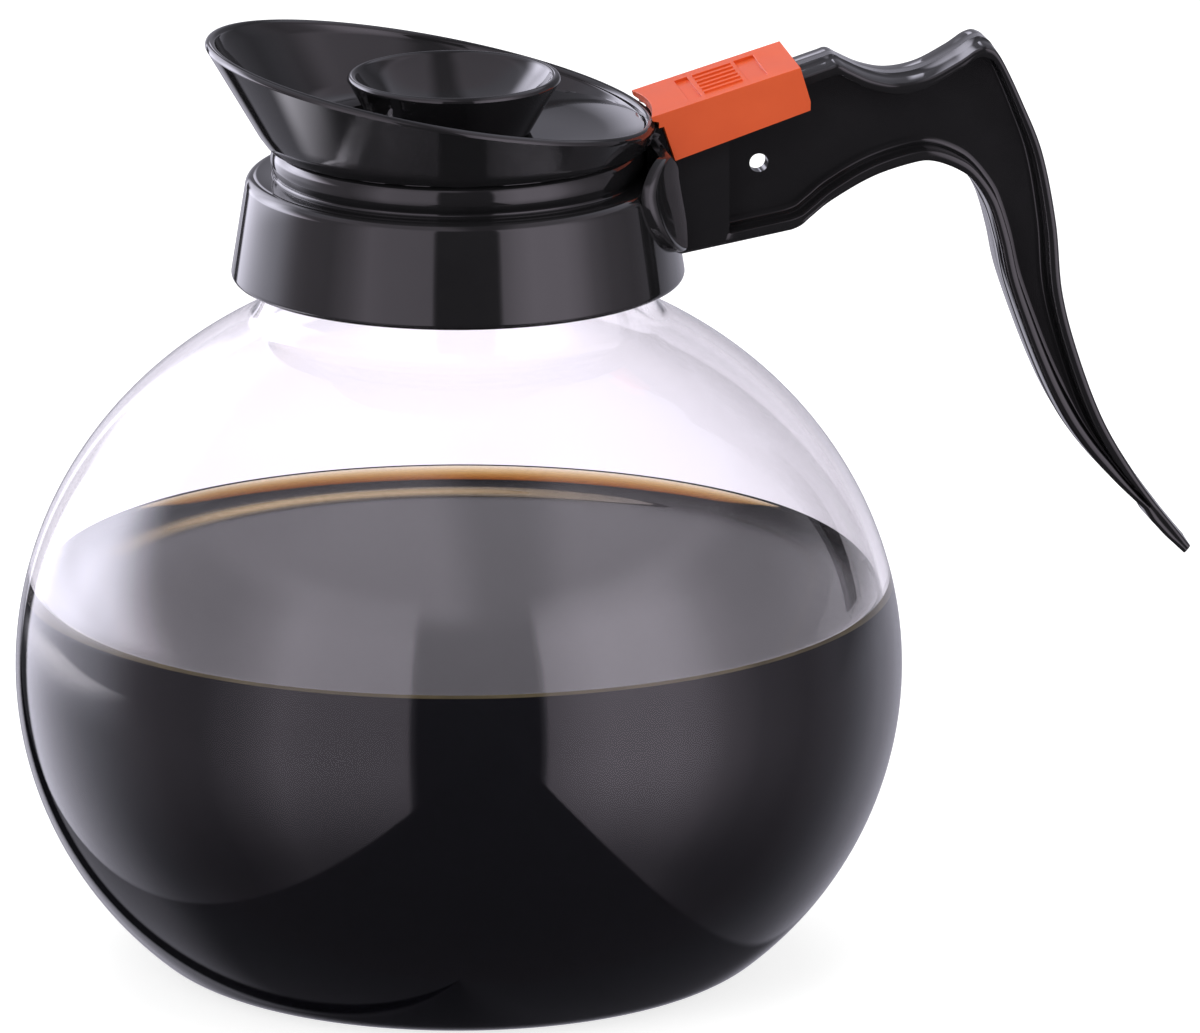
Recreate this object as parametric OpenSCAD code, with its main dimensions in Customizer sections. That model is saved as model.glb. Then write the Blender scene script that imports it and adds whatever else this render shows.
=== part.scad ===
// Coffee server carafe: a round glass bowl, a black collar that carries a pouring funnel with a
// drip cup, an I-section handle bolted to the collar, and a coloured clip on top of the handle.
// Millimetres, +Z up. The origin is on the bowl's axis, on the surface that it stands on.
// The handle points along +X and the spout along -X.

/* [Glass bowl] */
// Largest outer radius of the bowl
bowl_r = 82.5; // [78:0.5:88]
// Height of the widest circle above the surface
bowl_mid = 56.5; // [52:0.5:61]
// Height of the dome above the widest circle
bowl_rise = 75.6; // [74.5:0.1:77]
// Radius of the flat foot
foot_r = 47; // [44:0.5:50]
// Radius of the rounded corner round the foot
foot_round = 17; // [14:0.5:20]
// Wall of the glass
glass_wall = 2.3; // [1.9:0.1:2.8]
// Outer radius of the neck
neck_r = 36.3; // [33:0.1:39]
// How far the dome ends outside the neck
turn_out = 1.3; // [0.8:0.1:2]
// Height over which the dome turns up into the neck
turn_h = 3.2; // [2.4:0.1:5]
// Height of the neck's top above the surface
neck_top = 146; // [144:0.5:148]
// Radius of the rolled bead round the neck's top
lip_round = 1.5; // [1.3:0.1:1.7]

/* [Collar] */
// Height of the skirt from its lower edge to its shoulder
collar_h = 19.4; // [18:0.2:21]
// Thickness of the skirt round the neck's bead
skirt_over = 1.1; // [0.7:0.1:1.9]
// How much wider the skirt is at its lower edge
skirt_flare = 3.1; // [2.4:0.1:4]
// Wall of the skirt
collar_wall = 2.2; // [1.8:0.1:2.4]
// Thickness of the collar's top plate
collar_plate = 2.6; // [2.2:0.1:3]
// Rounding of the shoulder
shoulder_round = 2.2; // [1.6:0.2:3]
// Rounding of the skirt's lower edge
skirt_round = 1; // [0.6:0.1:1.4]
// Width of the bead above the shoulder, from the throat to its largest radius
bead_w = 3.6; // [3:0.1:4]
// How far the bead bulges out of its root
bead_out = 1.8; // [1.4:0.1:2.2]
// Height of the bead
bead_h = 6; // [5:0.1:6.6]

/* [Neck gasket] */
// Thickness of the gasket between the glass and the collar's plate
gasket_t = 1.8; // [1.4:0.1:2.2]
// Depth of the gasket's sleeve inside the neck
gasket_sleeve = 4; // [3:0.5:6]
// Thickness of the gasket's sleeve, down to the throat
sleeve_t = 2.7; // [2.3:0.1:3.4]
// Gap between the gasket's sleeve and the glass
sleeve_gap = 0.3; // [0.2:0.05:0.5]

/* [Retaining ring] */
// Height of the split ring under the neck's bead
ring_h = 3; // [2.4:0.2:3.4]
// Angle that the ring leaves open on the handle's side
ring_open = 60; // [50:2:80]
// Depth of the ring in its groove in the skirt
ring_grip = 0.8; // [0.5:0.1:1]

/* [Funnel] */
// Height of the rim above the collar's bead, on the bowl's axis
rim_rise = 11.1; // [9.6:0.1:12.8]
// How far the funnel's base stands out past the bead
base_out = 1; // [0.4:0.1:1.4]
// How much larger the rim is than the base, seen from above
rim_out = 6; // [5.2:0.1:7.2]
// How far the rim's middle lies towards the spout
rim_shift = 5; // [4.4:0.1:6]
// Slope of the rim's plane, in degrees, rising towards the spout
rim_slope = 10.6; // [8:0.1:12]
// Wall of the funnel
funnel_wall = 2; // [1.6:0.1:2.4]
// Thickness of the funnel's floor
floor_t = 1.8; // [1.4:0.1:2.2]
// Length of the spigot below the floor
spigot_len = 5; // [4:0.5:6]
// Width of the floor between the hub and the pouring slots
slot_in = 5.2; // [4.5:0.1:6.5]
// Width of the floor between the pouring slots and the throat's radius
slot_out = 4; // [3.6:0.1:6]
// Angle that the pouring slots take up on the spout's side
slot_span = 180; // [150:10:200]
// Number of pouring slots
slot_count = 3; // [2:1:4]
// Width of a spoke between two slots
spoke_w = 3; // [2:0.2:4]

/* [Drip cup] */
// Radius of the cup's rim
cup_r = 19.7; // [18.5:0.1:20.5]
// Height of the cup's rim above the funnel's floor
cup_h = 11; // [10:0.2:12.4]
// Radius of the cup's foot
cup_foot_r = 14.1; // [13.4:0.1:14.8]
// Wall of the cup
cup_wall = 1.8; // [1.5:0.1:2.2]
// Outer radius of the stem that plugs into the floor
stem_r = 8; // [7:0.1:8.6]
// Radius of the drip hole through the stem
drip_r = 4; // [3:0.1:5]
// Length of the stem below the floor's top
stem_len = 6; // [4:0.5:7]
// How far the cup's axis lies towards the spout
cup_shift = 0.7; // [0:0.1:1.2]

/* [Handle] */
// Reach of the handle from its root to its tip
handle_reach = 100; // [94:1:108]
// Height from the handle's tip to its highest point
handle_span = 99; // [94:1:104]
// Width of the handle
handle_w = 15.4; // [14:0.2:16.4]
// Thickness of the flange round the handle's edge
flange_t = 2.3; // [2:0.1:2.8]
// Thickness of the web between the flanges
web_t = 3.2; // [2.6:0.1:4.4]
// How far the root's face lies inside the skirt's radius at its shoulder
root_over = 1.3; // [1:0.1:1.6]
// Length of the solid block at the root
root_block = 12; // [10:0.5:14]
// Thickness of the saddle that hugs the collar
saddle_t = 1.8; // [1.6:0.1:2.2]
// Half the width of the saddle
saddle_half_w = 25; // [23:0.5:27]
// Height of the saddle's lower edge above the skirt's
saddle_low_in = 6.4; // [5.6:0.2:6.8]
// Height of the saddle's upper edge above the shoulder
saddle_rise = 6; // [5:0.2:7]
// Radius of the saddle's lower corners
saddle_low_round = 11.5; // [8:0.5:12]
// Radius of the saddle's upper corners
saddle_top_round = 6; // [4:0.5:8]
// Radius of the hole to hang the carafe by
hang_r = 1.75; // [1.4:0.05:2]
// Distance of that hole from the root's face
hang_in = 18.5; // [17:0.5:21]

/* [Handle screws] */
// Radius of a screw's shank
screw_r = 1.7; // [1.4:0.1:2]
// Length of a screw's shank
screw_len = 11; // [9:0.5:12]
// Radius of a screw's head
screw_head_r = 3.1; // [2.7:0.1:3.4]
// Height of a screw's head
screw_head_h = 1.6; // [1.3:0.1:1.8]
// Distance between the two screws
screw_pitch = 8; // [7.2:0.2:8.4]
// Height of the screws above the skirt's lower edge
screw_up = 8.6; // [8:0.1:9]
// Depth of the seat for the screws' heads inside the skirt
screw_sink = 0.4; // [0.3:0.1:0.6]

/* [Clip] */
// Length of the clip along the handle
clip_len = 29.1; // [27:0.1:31]
// Thickness of the clip's top
clip_top_t = 2.2; // [1.8:0.1:2.6]
// Thickness of the clip's sides
clip_side_t = 2.8; // [2.2:0.1:3]
// Depth of the clip's sides at the funnel
clip_deep = 9.4; // [8:0.1:10]
// Depth of the clip's sides at the far end
clip_shallow = 8.4; // [7:0.1:9]
// How far the top runs on past the sides, at the funnel
clip_overhang = 1.7; // [1:0.1:2.5]
// How far the top starts before the handle's root
clip_back = 2.7; // [2.2:0.1:3]
// How far the top laps over the funnel's rim
clip_lap = 0.8; // [0.4:0.1:1]
// Slant of the sides' edge at the funnel
clip_slant = 0.2; // [0.1:0.1:0.6]
// Height of the chamfer at the far end of the sides
clip_toe_h = 1.6; // [1:0.1:2.2]
// Length of the chamfer at the far end of the sides
clip_toe_len = 0.5; // [0.3:0.1:1]
// Gap between the clip and the handle
clip_gap = 0.3; // [0.2:0.05:0.5]
// Width of the recessed windows in the clip's top
window_w = 15.5; // [12:0.5:16]
// Depth of the recessed windows
window_deep = 0.6; // [0.4:0.1:0.8]
// Number of ribs between the windows, along the clip
rib_count = 6; // [3:1:8]
// Height of a rib
rib_h = 0.4; // [0.3:0.1:0.6]
// Width of a rib
rib_w = 0.8; // [0.5:0.1:1]
// Gap between the ribs' ends and the windows
rib_end = 0.8; // [0.4:0.1:1.2]

/* [Hidden] */

// Overrun of every cut past the face that it leaves
cut = 1;
// Gap between a piece and its seat where they only locate each other
seat_gap = 0.1;
// Gap between the cup, which lifts out, and what carries it
lift_gap = 0.3;

// Heights of the collar, from the glass up
plate_under = neck_top + gasket_t;
collar_top = plate_under + collar_plate;
collar_low = collar_top - collar_h;
bead_top = collar_top + bead_h;
floor_top = bead_top + floor_t;

// Radii that follow from the neck
neck_in_r = neck_r - glass_wall;
lip_out_r = neck_r + lip_round;
lip_mid = neck_top - lip_round;
lip_low = lip_mid - lip_round;
ring_top = lip_low - seat_gap;
ring_low = ring_top - ring_h;
collar_top_r = lip_out_r + seat_gap + skirt_over;
collar_low_r = collar_top_r + skirt_flare;
throat_r = neck_in_r - sleeve_gap - sleeve_t;
bead_r = throat_r + bead_w;
funnel_low_r = bead_r + base_out;
rim_r = funnel_low_r + rim_out;
hub_r = stem_r + lift_gap + funnel_wall;

// The rim's plane
rim_mid = bead_top + rim_rise;
rim_fall = tan(rim_slope);

function unit(v) = v / norm(v);
function arc(c, r, a0, a1, n) = [for (i = [0 : n]) c + r * [cos(a0 + (a1 - a0) * i / n),
                                                             sin(a0 + (a1 - a0) * i / n)]];
function bezier(p, t) = (1 - t) ^ 3 * p[0] + 3 * t * (1 - t) ^ 2 * p[1]
                      + 3 * t ^ 2 * (1 - t) * p[2] + t ^ 3 * p[3];

// A smooth curve through every knot, with the first and last knots as its ends
function knot(k, i) = k[max(0, min(len(k) - 1, i))];
function through(k, i, t) = 0.5 * (2 * knot(k, i) + (knot(k, i + 1) - knot(k, i - 1)) * t
    + (2 * knot(k, i - 1) - 5 * knot(k, i) + 4 * knot(k, i + 1) - knot(k, i + 2)) * t ^ 2
    + (3 * knot(k, i) - knot(k, i - 1) - 3 * knot(k, i + 1) + knot(k, i + 2)) * t ^ 3);
function spline(k, n) = [for (i = [0 : len(k) - 2], j = [0 : n - 1]) through(k, i, j / n), knot(k, len(k))];

// Glass bowl
// The side below the widest circle is one arc, which touches the corner arc round the foot.
side_in = bowl_r - foot_r;
side_up = bowl_mid - foot_round;
side_arc = (side_in ^ 2 + side_up ^ 2 - foot_round ^ 2) / (2 * (side_in - foot_round));
side_mid = [bowl_r - side_arc, bowl_mid];
foot_mid = [foot_r, foot_round];
side_end = atan2(foot_mid.y - side_mid.y, foot_mid.x - side_mid.x);
// The dome is an ellipse, which turns up into the neck near the collar's lower edge.
dome_end = acos((neck_r + turn_out) / bowl_r);
dome_last = [neck_r + turn_out, bowl_mid + bowl_rise * sin(dome_end)];
dome_way = unit([-bowl_r * sin(dome_end), bowl_rise * cos(dome_end)]);
neck_first = [neck_r, dome_last.y + turn_h];
turn_corner = dome_last + dome_way * (neck_r - dome_last.x) / dome_way.x;
turn_share = 0.6;
neck_turn = [dome_last, dome_last + turn_share * (turn_corner - dome_last),
             neck_first + turn_share * (turn_corner - neck_first), neck_first];
dome_steps = 26;
turn_steps = 8;
bowl_outline = concat(
    [[0, 0]],
    arc(foot_mid, foot_round, -90, side_end, 10),
    arc(side_mid, side_arc, side_end, 0, 22),
    [for (i = [1 : dome_steps]) let (a = dome_end * i / dome_steps)
        [bowl_r * cos(a), bowl_mid + bowl_rise * sin(a)]],
    [for (i = [1 : turn_steps]) bezier(neck_turn, i / turn_steps)],
    [[neck_r, lip_mid], [0, lip_mid]]);

module bowl_section() {
    difference() {
        polygon(bowl_outline);
        offset(delta = -glass_wall) union() {
            polygon(bowl_outline);
            mirror([1, 0]) polygon(bowl_outline);
            translate([-neck_r, lip_mid - cut]) square([2 * neck_r, 2 * glass_wall + cut]);
        }
    }
}

module glass_bowl() {
    color([0.85, 0.9, 0.92, 0.35]) {
        rotate_extrude($fn = 180) intersection() {
            bowl_section();
            square([bowl_r, neck_top]);
        }
        rotate_extrude($fn = 180) difference() {
            translate([neck_r, lip_mid]) circle(r = lip_round, $fn = 48);
            translate([0, lip_low - cut]) square([neck_in_r, neck_top]);
        }
    }
}

// Neck gasket, with a sleeve that stands inside the glass
module neck_gasket() {
    sleeve_r = neck_in_r - sleeve_gap;
    color("dimgray") rotate_extrude($fn = 180) {
        translate([throat_r, neck_top]) square([lip_out_r - throat_r, gasket_t]);
        translate([throat_r, neck_top - gasket_sleeve])
            square([sleeve_r - throat_r, gasket_sleeve + gasket_t]);
    }
}

// Retaining ring, split on the handle's side to clear the screw heads
module retaining_ring() {
    ring_in_r = neck_r + lift_gap;
    color("silver") rotate([0, 0, ring_open / 2]) rotate_extrude(angle = 360 - ring_open, $fn = 180)
        translate([ring_in_r, ring_low]) square([groove_r - ring_in_r, ring_h]);
}

// Collar
function skirt_r(z) = collar_low_r + (collar_top_r - collar_low_r) * (z - collar_low) / collar_h;
groove_r = skirt_r(ring_low) - collar_wall + ring_grip;
bead_steps = 16;

// A cone's section on both sides of the axis, with its corners rounded
module round_cone(low, high, r) {
    offset(r = r, $fn = 64) offset(delta = -r)
        polygon([[-skirt_r(low), low], [skirt_r(low), low], [skirt_r(high), high], [-skirt_r(high), high]]);
}

module collar_outer() {
    intersection() {
        round_cone(collar_low - collar_h, collar_top, shoulder_round);
        round_cone(collar_low, collar_top + collar_h, skirt_round);
        translate([0, collar_low]) square([2 * collar_low_r, collar_h]);
    }
}

module collar_section() {
    difference() {
        union() {
            collar_outer();
            // bead, which bulges out above the plate
            polygon(concat([[throat_r, plate_under]],
                           [for (i = [0 : bead_steps]) let (a = 180 * i / bead_steps - 90)
                               [bead_r - bead_out * (1 - cos(a)), collar_top + bead_h / 2 * (1 + sin(a))]],
                           [[throat_r, bead_top]]));
        }
        // inside of the skirt, parallel to its outside
        polygon([[0, collar_low - cut], [skirt_r(collar_low - cut) - collar_wall, collar_low - cut],
                 [skirt_r(ring_top) - collar_wall, ring_top], [lip_out_r + seat_gap, ring_top],
                 [lip_out_r + seat_gap, plate_under], [0, plate_under]]);
        // groove for the retaining ring
        translate([0, ring_low]) square([groove_r, ring_h]);
        // throat
        square([throat_r, bead_top + cut]);
    }
}

module collar() {
    color([0.1, 0.1, 0.11]) difference() {
        rotate_extrude($fn = 180) collar_section();
        each_screw() screw_hole();
    }
}

// Funnel
// The wall is ruled between a round base on the collar's bead and the sloping rim.
rim_steps = 96;
lip_steps = 6;
half_wall = funnel_wall / 2;

function base_at(a) = [funnel_low_r * cos(a), funnel_low_r * sin(a), bead_top];
function rim_at(a) = let (x = rim_r * cos(a) - rim_shift) [x, rim_r * sin(a), rim_mid - half_wall - rim_fall * x];
function inward(a, d, up) = [-d * cos(a), -d * sin(a), up];
function wall_loop(a) = concat(
    [base_at(a)],
    [for (i = [0 : lip_steps]) let (b = 180 * i / lip_steps)
        rim_at(a) + inward(a, half_wall * (1 - cos(b)), half_wall * sin(b))],
    [base_at(a) + inward(a, funnel_wall, floor_t), base_at(a) + inward(a, funnel_wall, 0)]);

module funnel_wall_loft() {
    rings = [for (i = [0 : rim_steps - 1]) wall_loop(360 * i / rim_steps)];
    m = len(rings[0]);
    n = rim_steps;
    polyhedron(
        points = [for (r = rings) each r],
        faces = [for (i = [0 : n - 1], j = [0 : m - 1]) let (
                     a = i * m + j,
                     b = i * m + (j + 1) % m,
                     c = ((i + 1) % n) * m + (j + 1) % m,
                     d = ((i + 1) % n) * m + j)
                 each [[a, b, c], [a, c, d]]]);
}

module funnel_floor() {
    spigot_r = throat_r - seat_gap;
    slot_in_r = hub_r + slot_in;
    slot_out_r = throat_r - slot_out;
    difference() {
        union() {
            translate([0, 0, bead_top]) cylinder(r = funnel_low_r - half_wall, h = floor_t, $fn = 180);
            translate([0, 0, bead_top - spigot_len]) cylinder(r = spigot_r, h = spigot_len, $fn = 180);
        }
        // inside of the spigot, round the hub
        translate([0, 0, bead_top - spigot_len - cut]) difference() {
            cylinder(r = spigot_r - funnel_wall, h = spigot_len + cut, $fn = 180);
            translate([-cup_shift, 0, 0]) cylinder(r = hub_r, h = spigot_len + cut, $fn = 96);
        }
        // socket for the cup's stem
        translate([-cup_shift, 0, bead_top - spigot_len - cut])
            cylinder(r = stem_r + lift_gap, h = spigot_len + floor_t + 2 * cut, $fn = 96);
        // pouring slots on the spout's side, with spokes between them
        translate([0, 0, bead_top - cut]) rotate([0, 0, 180 - slot_span / 2]) difference() {
            rotate_extrude(angle = slot_span, $fn = 180)
                translate([slot_in_r, 0]) square([slot_out_r - slot_in_r, floor_t + 2 * cut]);
            for (i = [1 : slot_count - 1]) rotate([0, 0, slot_span * i / slot_count])
                translate([0, -spoke_w / 2, -cut]) cube([slot_out_r + cut, spoke_w, floor_t + 4 * cut]);
        }
    }
}

module spout_funnel() {
    color([0.1, 0.1, 0.11]) {
        funnel_wall_loft();
        funnel_floor();
    }
}

// Drip cup, a cone with a dished inside on a stem
dish_deep_share = 0.8;

module drip_cup() {
    foot_z = floor_top + lift_gap;
    rim_z = floor_top + cup_h;
    dish_z = rim_z - dish_deep_share * (rim_z - foot_z);
    dish_r = cup_foot_r - cup_wall;
    dish = [[drip_r, dish_z - cup_wall / 2], [dish_r - cup_wall, dish_z],
            [dish_r + cup_wall / 2, dish_z + cup_wall], [cup_r - cup_wall, rim_z - cup_wall / 2]];
    color([0.1, 0.1, 0.11]) translate([-cup_shift, 0, 0]) rotate_extrude($fn = 144) union() {
        polygon(concat(
            [[drip_r, foot_z], [cup_foot_r, foot_z], [cup_r, rim_z - cup_wall / 2]],
            arc([cup_r - cup_wall / 2, rim_z - cup_wall / 2], cup_wall / 2, 0, 180, 8),
            [for (i = [1 : 10]) bezier([dish[3], dish[2], dish[1], dish[0]], i / 10)]));
        translate([drip_r, floor_top - stem_len])
            square([stem_r - drip_r, stem_len + lift_gap + cup_wall / 2]);
    }
}

// Handle
// Knots of its outline, seen from the side, as shares of its reach and of its span.
// Heights start at the collar's top.
root_x = collar_top_r - root_over;
top_line_shares = [[0, 0.102], [0.267, 0.182]];
thumb_shares = [[0.267, 0.182], [0.305, 0.194], [0.325, 0.199], [0.346, 0.188], [0.388, 0.168],
                [0.437, 0.158], [0.493, 0.167], [0.55, 0.195], [0.586, 0.218], [0.609, 0.22],
                [0.631, 0.198], [0.672, 0.111], [0.711, 0.011], [0.738, -0.125], [0.751, -0.259],
                [0.781, -0.378], [0.829, -0.508], [0.888, -0.614], [0.943, -0.693], [0.997, -0.762]];
tip_shares = [[0.982, -0.779], [0.944, -0.741], [0.915, -0.707]];
finger_shares = [[0.905, -0.69], [0.847, -0.631], [0.79, -0.564], [0.743, -0.491], [0.697, -0.389],
                 [0.646, -0.245], [0.627, -0.159], [0.607, -0.089], [0.579, -0.041], [0.549, -0.017],
                 [0.503, 0.001], [0.464, -0.001], [0.389, -0.024], [0.314, -0.065], [0.276, -0.094],
                 [0.255, -0.112], [0.237, -0.12]];
root_low_shares = [[0, -0.163]];
curve_steps = 5;

function placed(shares) = [for (s = shares) [root_x + s.x * handle_reach, collar_top + s.y * handle_span]];
handle_outline = concat(
    placed(top_line_shares),
    spline(placed(thumb_shares), curve_steps),
    placed(tip_shares),
    spline(placed(finger_shares), curve_steps),
    placed(root_low_shares));

hang_at = [root_x + hang_in, collar_top];

// Radius of the root's face, which stands clear of the funnel
root_face_r = root_x + seat_gap;

// A side view, drawn in X and Z, given a width across Y
module across(w) {
    translate([0, w / 2, 0]) rotate([90, 0, 0]) linear_extrude(height = w) children();
}

module pocket_outline() {
    offset(r = flange_t, $fn = 24) offset(delta = -2 * flange_t) difference() {
        polygon(handle_outline);
        translate([root_x - cut, 0]) square([root_block + cut - flange_t, 2 * collar_top]);
    }
}

// Seen from the handle's side, the saddle is a plate with large round corners
module saddle() {
    saddle_low = collar_low + saddle_low_in;
    saddle_top = collar_top + saddle_rise;
    reach = 2 * collar_low_r;
    intersection() {
        rotate_extrude($fn = 180) polygon([
            [0, saddle_low], [skirt_r(saddle_low) + saddle_t, saddle_low],
            [collar_top_r + saddle_t, collar_top], [collar_top_r + saddle_t, saddle_top], [0, saddle_top]]);
        rotate([90, 0, 90]) linear_extrude(height = reach) hull() for (s = [-1, 1]) {
            translate([s * (saddle_half_w - saddle_low_round), saddle_low + saddle_low_round])
                circle(r = saddle_low_round, $fn = 64);
            translate([s * (saddle_half_w - saddle_top_round), saddle_top - saddle_top_round])
                circle(r = saddle_top_round, $fn = 48);
        }
    }
}

module handle() {
    color([0.1, 0.1, 0.11]) difference() {
        union() {
            across(handle_w) polygon(handle_outline);
            saddle();
        }
        // seat on the collar
        rotate_extrude($fn = 180) collar_outer();
        translate([0, 0, collar_low - cut]) cylinder(r = collar_low_r, h = skirt_round + cut, $fn = 180);
        translate([0, 0, collar_top - shoulder_round])
            cylinder(r = root_face_r, h = 2 * rim_rise, $fn = 180);
        clip_room();
        // pockets on both sides of the web
        for (s = [-1, 1]) translate([0, s * (web_t + handle_w) / 4 + s * cut / 2, 0])
            across((handle_w - web_t) / 2 + cut) pocket_outline();
        // hole to hang the carafe by
        translate([hang_at.x, handle_w, hang_at.y]) rotate([90, 0, 0])
            cylinder(r = hang_r, h = 2 * handle_w, $fn = 48);
        each_screw() cylinder(r = screw_r, h = screw_len + cut, $fn = 48);
    }
}

// Handle screws, driven from inside the skirt
screw_z = collar_low + screw_up;
screw_seat = skirt_r(screw_z) - collar_wall + screw_sink;

// Children stand on the screw's seat and point along +Z into the handle
module each_screw() {
    for (s = [-1, 1]) translate([screw_seat, s * screw_pitch / 2, screw_z]) rotate([0, 90, 0]) children();
}

module screw_hole() {
    cylinder(r = screw_r, h = 2 * saddle_t + collar_wall, $fn = 48);
    translate([0, 0, -screw_head_h]) cylinder(r = screw_head_r + seat_gap, h = screw_head_h, $fn = 48);
}

module handle_screws() {
    color("gainsboro") each_screw() {
        cylinder(r = screw_r, h = screw_len, $fn = 48);
        translate([0, 0, -screw_head_h]) cylinder(r = screw_head_r, h = screw_head_h, $fn = 48);
    }
}

// Clip, drawn along the handle's straight top edge
clip_way = unit(placed(top_line_shares)[1] - placed(top_line_shares)[0]);
clip_tilt = atan2(clip_way.y, clip_way.x);
clip_start = placed(top_line_shares)[0] - clip_back * clip_way;

clip_up = clip_top_t + clip_gap;

// Children stand on the handle's top edge, with +X along it
module on_top_edge() {
    translate([clip_start.x, 0, clip_start.y]) rotate([0, -clip_tilt, 0]) children();
}

// Room in the saddle for the clip's sides, beside the root
module clip_room() {
    room_w = clip_side_t + 3 * clip_gap;
    low = clip_up - clip_deep - 2 * clip_gap;
    for (s = [-1, 1]) translate([0, s * (handle_w + room_w) / 2, 0]) on_top_edge()
        translate([0, -room_w / 2, low]) cube([clip_len, room_w, clip_deep + clip_up]);
}

module clip_side_outline() {
    polygon([[0, 0], [0, clip_up], [clip_len, clip_up], [clip_len, clip_up - clip_shallow + clip_toe_h],
             [clip_len - clip_toe_len, clip_up - clip_shallow], [clip_overhang + clip_slant, clip_up - clip_deep],
             [clip_overhang, 0]]);
}

module clip() {
    inner_w = handle_w + 2 * clip_gap;
    outer_w = inner_w + 2 * clip_side_t;
    color([0.85, 0.33, 0.16]) difference() {
        on_top_edge() {
            difference() {
                across(outer_w) clip_side_outline();
                translate([-cut, -inner_w / 2, clip_gap - 2 * clip_deep])
                    cube([clip_len + 2 * cut, inner_w, 2 * clip_deep]);
                clip_windows();
            }
            clip_ribs();
        }
        // end that follows the funnel's rim, lapping over it
        translate([-rim_shift, 0, collar_top]) cylinder(r = rim_r - clip_lap, h = 2 * rim_rise, $fn = 180);
        rim_room();
    }
}

// Room for the funnel's rim, up to its sloping plane
module rim_room() {
    intersection() {
        translate([-rim_shift, 0, collar_top]) cylinder(r = rim_r + 2 * clip_gap, h = 2 * rim_rise, $fn = 180);
        translate([0, 0, rim_mid + clip_gap]) rotate([0, rim_slope, 0])
            translate([0, -rim_r, -2 * rim_rise]) cube([2 * rim_r, 2 * rim_r, 2 * rim_rise]);
    }
}

// Start and length of each recessed window, along the clip
window_near = [7.8, 2.5];
window_far = [19.4, 3.8];

module clip_windows() {
    for (w = [window_near, window_far])
        translate([w[0], -window_w / 2, clip_up - window_deep]) cube([w[1], window_w, window_deep + cut]);
}

module clip_ribs() {
    first = window_near[0] + window_near[1] + rib_end;
    pitch = window_w / rib_count;
    for (i = [0 : rib_count - 1]) translate([first, (i + 0.5) * pitch - (window_w + rib_w) / 2, clip_up])
        cube([window_far[0] - first - rib_end, rib_w, rib_h]);
}

glass_bowl();
neck_gasket();
retaining_ring();
collar();
spout_funnel();
drip_cup();
handle();
handle_screws();
clip();
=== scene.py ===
import math

import bmesh
import bpy
from mathutils import Matrix, Vector


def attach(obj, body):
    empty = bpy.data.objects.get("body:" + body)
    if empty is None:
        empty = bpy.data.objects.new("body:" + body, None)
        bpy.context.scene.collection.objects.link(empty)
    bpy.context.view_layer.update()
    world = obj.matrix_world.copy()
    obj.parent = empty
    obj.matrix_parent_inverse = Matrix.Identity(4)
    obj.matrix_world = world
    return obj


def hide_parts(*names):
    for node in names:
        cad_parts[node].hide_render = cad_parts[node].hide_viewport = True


# A coffee server carafe: glass bowl with coffee, black collar, funnel, cup and handle, orange clip.
# Sizes of the pieces are in millimetres and become metres when a mesh is made.

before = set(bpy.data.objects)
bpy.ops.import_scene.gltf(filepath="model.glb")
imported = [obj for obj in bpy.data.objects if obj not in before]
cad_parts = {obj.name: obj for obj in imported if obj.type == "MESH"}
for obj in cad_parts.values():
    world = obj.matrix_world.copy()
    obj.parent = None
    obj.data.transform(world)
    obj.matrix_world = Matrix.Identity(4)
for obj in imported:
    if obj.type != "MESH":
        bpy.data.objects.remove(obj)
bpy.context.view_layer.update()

MM = 0.001
BODY = "carafe"
CUP_BODY = "cup"
CLIP_BODY = "clip_body"

# Bowl
BOWL_R = 82.5
BOWL_MID = 56.5
BOWL_RISE = 75.6
FOOT_R = 47.0
FOOT_ROUND = 17.0
GLASS_WALL = 2.3
NECK_R = 36.3
NECK_TOP = 146.0
NECK_PLAIN_TO = 136.0
TURN_OUT = 3.0
TURN_H = 6.5
LIP_ROUND = 1.5

# Coffee: its level, how far it reaches into the glass, and height and reach of its climbing edge
LEVEL = 71.2
WET_IN = 0.12
EDGE_NEAR = (1.1, 0.8)
EDGE_FAR = (3.4, 2.6)
EDGE_WIDE = 16.0

# The line of fine foam before the coffee's far edge; its turn is to each side, in degrees
FOAM_IN = 64.5
FOAM_OUT = 73.0
FOAM_UP = 0.35
FOAM_TURN = 62.0

# Collar
COLLAR_TOP = 150.4
COLLAR_H = 19.4
COLLAR_LOW = COLLAR_TOP - COLLAR_H
COLLAR_LOW_R = 42.1
COLLAR_TOP_R = 39.0
COLLAR_WALL = 2.2
PLATE_UNDER = 147.8
LIP_ROOM_LOW = 143.0
SHOULDER_ROUND = 2.2
BEAD_R = 34.6
BEAD_OUT = 1.8
BEAD_H = 6.0
BEAD_TOP = COLLAR_TOP + BEAD_H
THROAT_R = 31.0

# Funnel
BASE_R = 35.6
RIM_MID = BEAD_TOP + 11.1
RIM_R = 41.6
RIM_SHIFT = 5.0
RIM_FALL = math.tan(math.radians(10.6))
FUNNEL_WALL = 2.0
FLOOR_T = 1.8
FLOOR_TOP = BEAD_TOP + FLOOR_T
FLOOR_OUT_R = BASE_R - 1.4
SPIGOT_LOW = BEAD_TOP - 5.0
SPIGOT_R = THROAT_R - 0.1
HUB_R = 10.3
SLOTS = 3
SLOT_IN_R = 15.5
SLOT_OUT_R = 27.0
HALF_SPOKE = 1.5
# The floor is dished on the handle's side, from DISH_FROM outwards
DISH_FROM = 19.0
DISH_WIDE = 15.0
DISH_UP = 1.3

# Drip cup
CUP_R = 19.7
CUP_TOP = FLOOR_TOP + 11.0
CUP_FOOT_R = 14.1
CUP_FOOT = FLOOR_TOP + 0.3
CUP_WALL = 1.8
CUP_SHIFT = 0.7
STEM_R = 8.0
STEM_BORE_R = 4.0
STEM_LOW = FLOOR_TOP - 6.0

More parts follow.
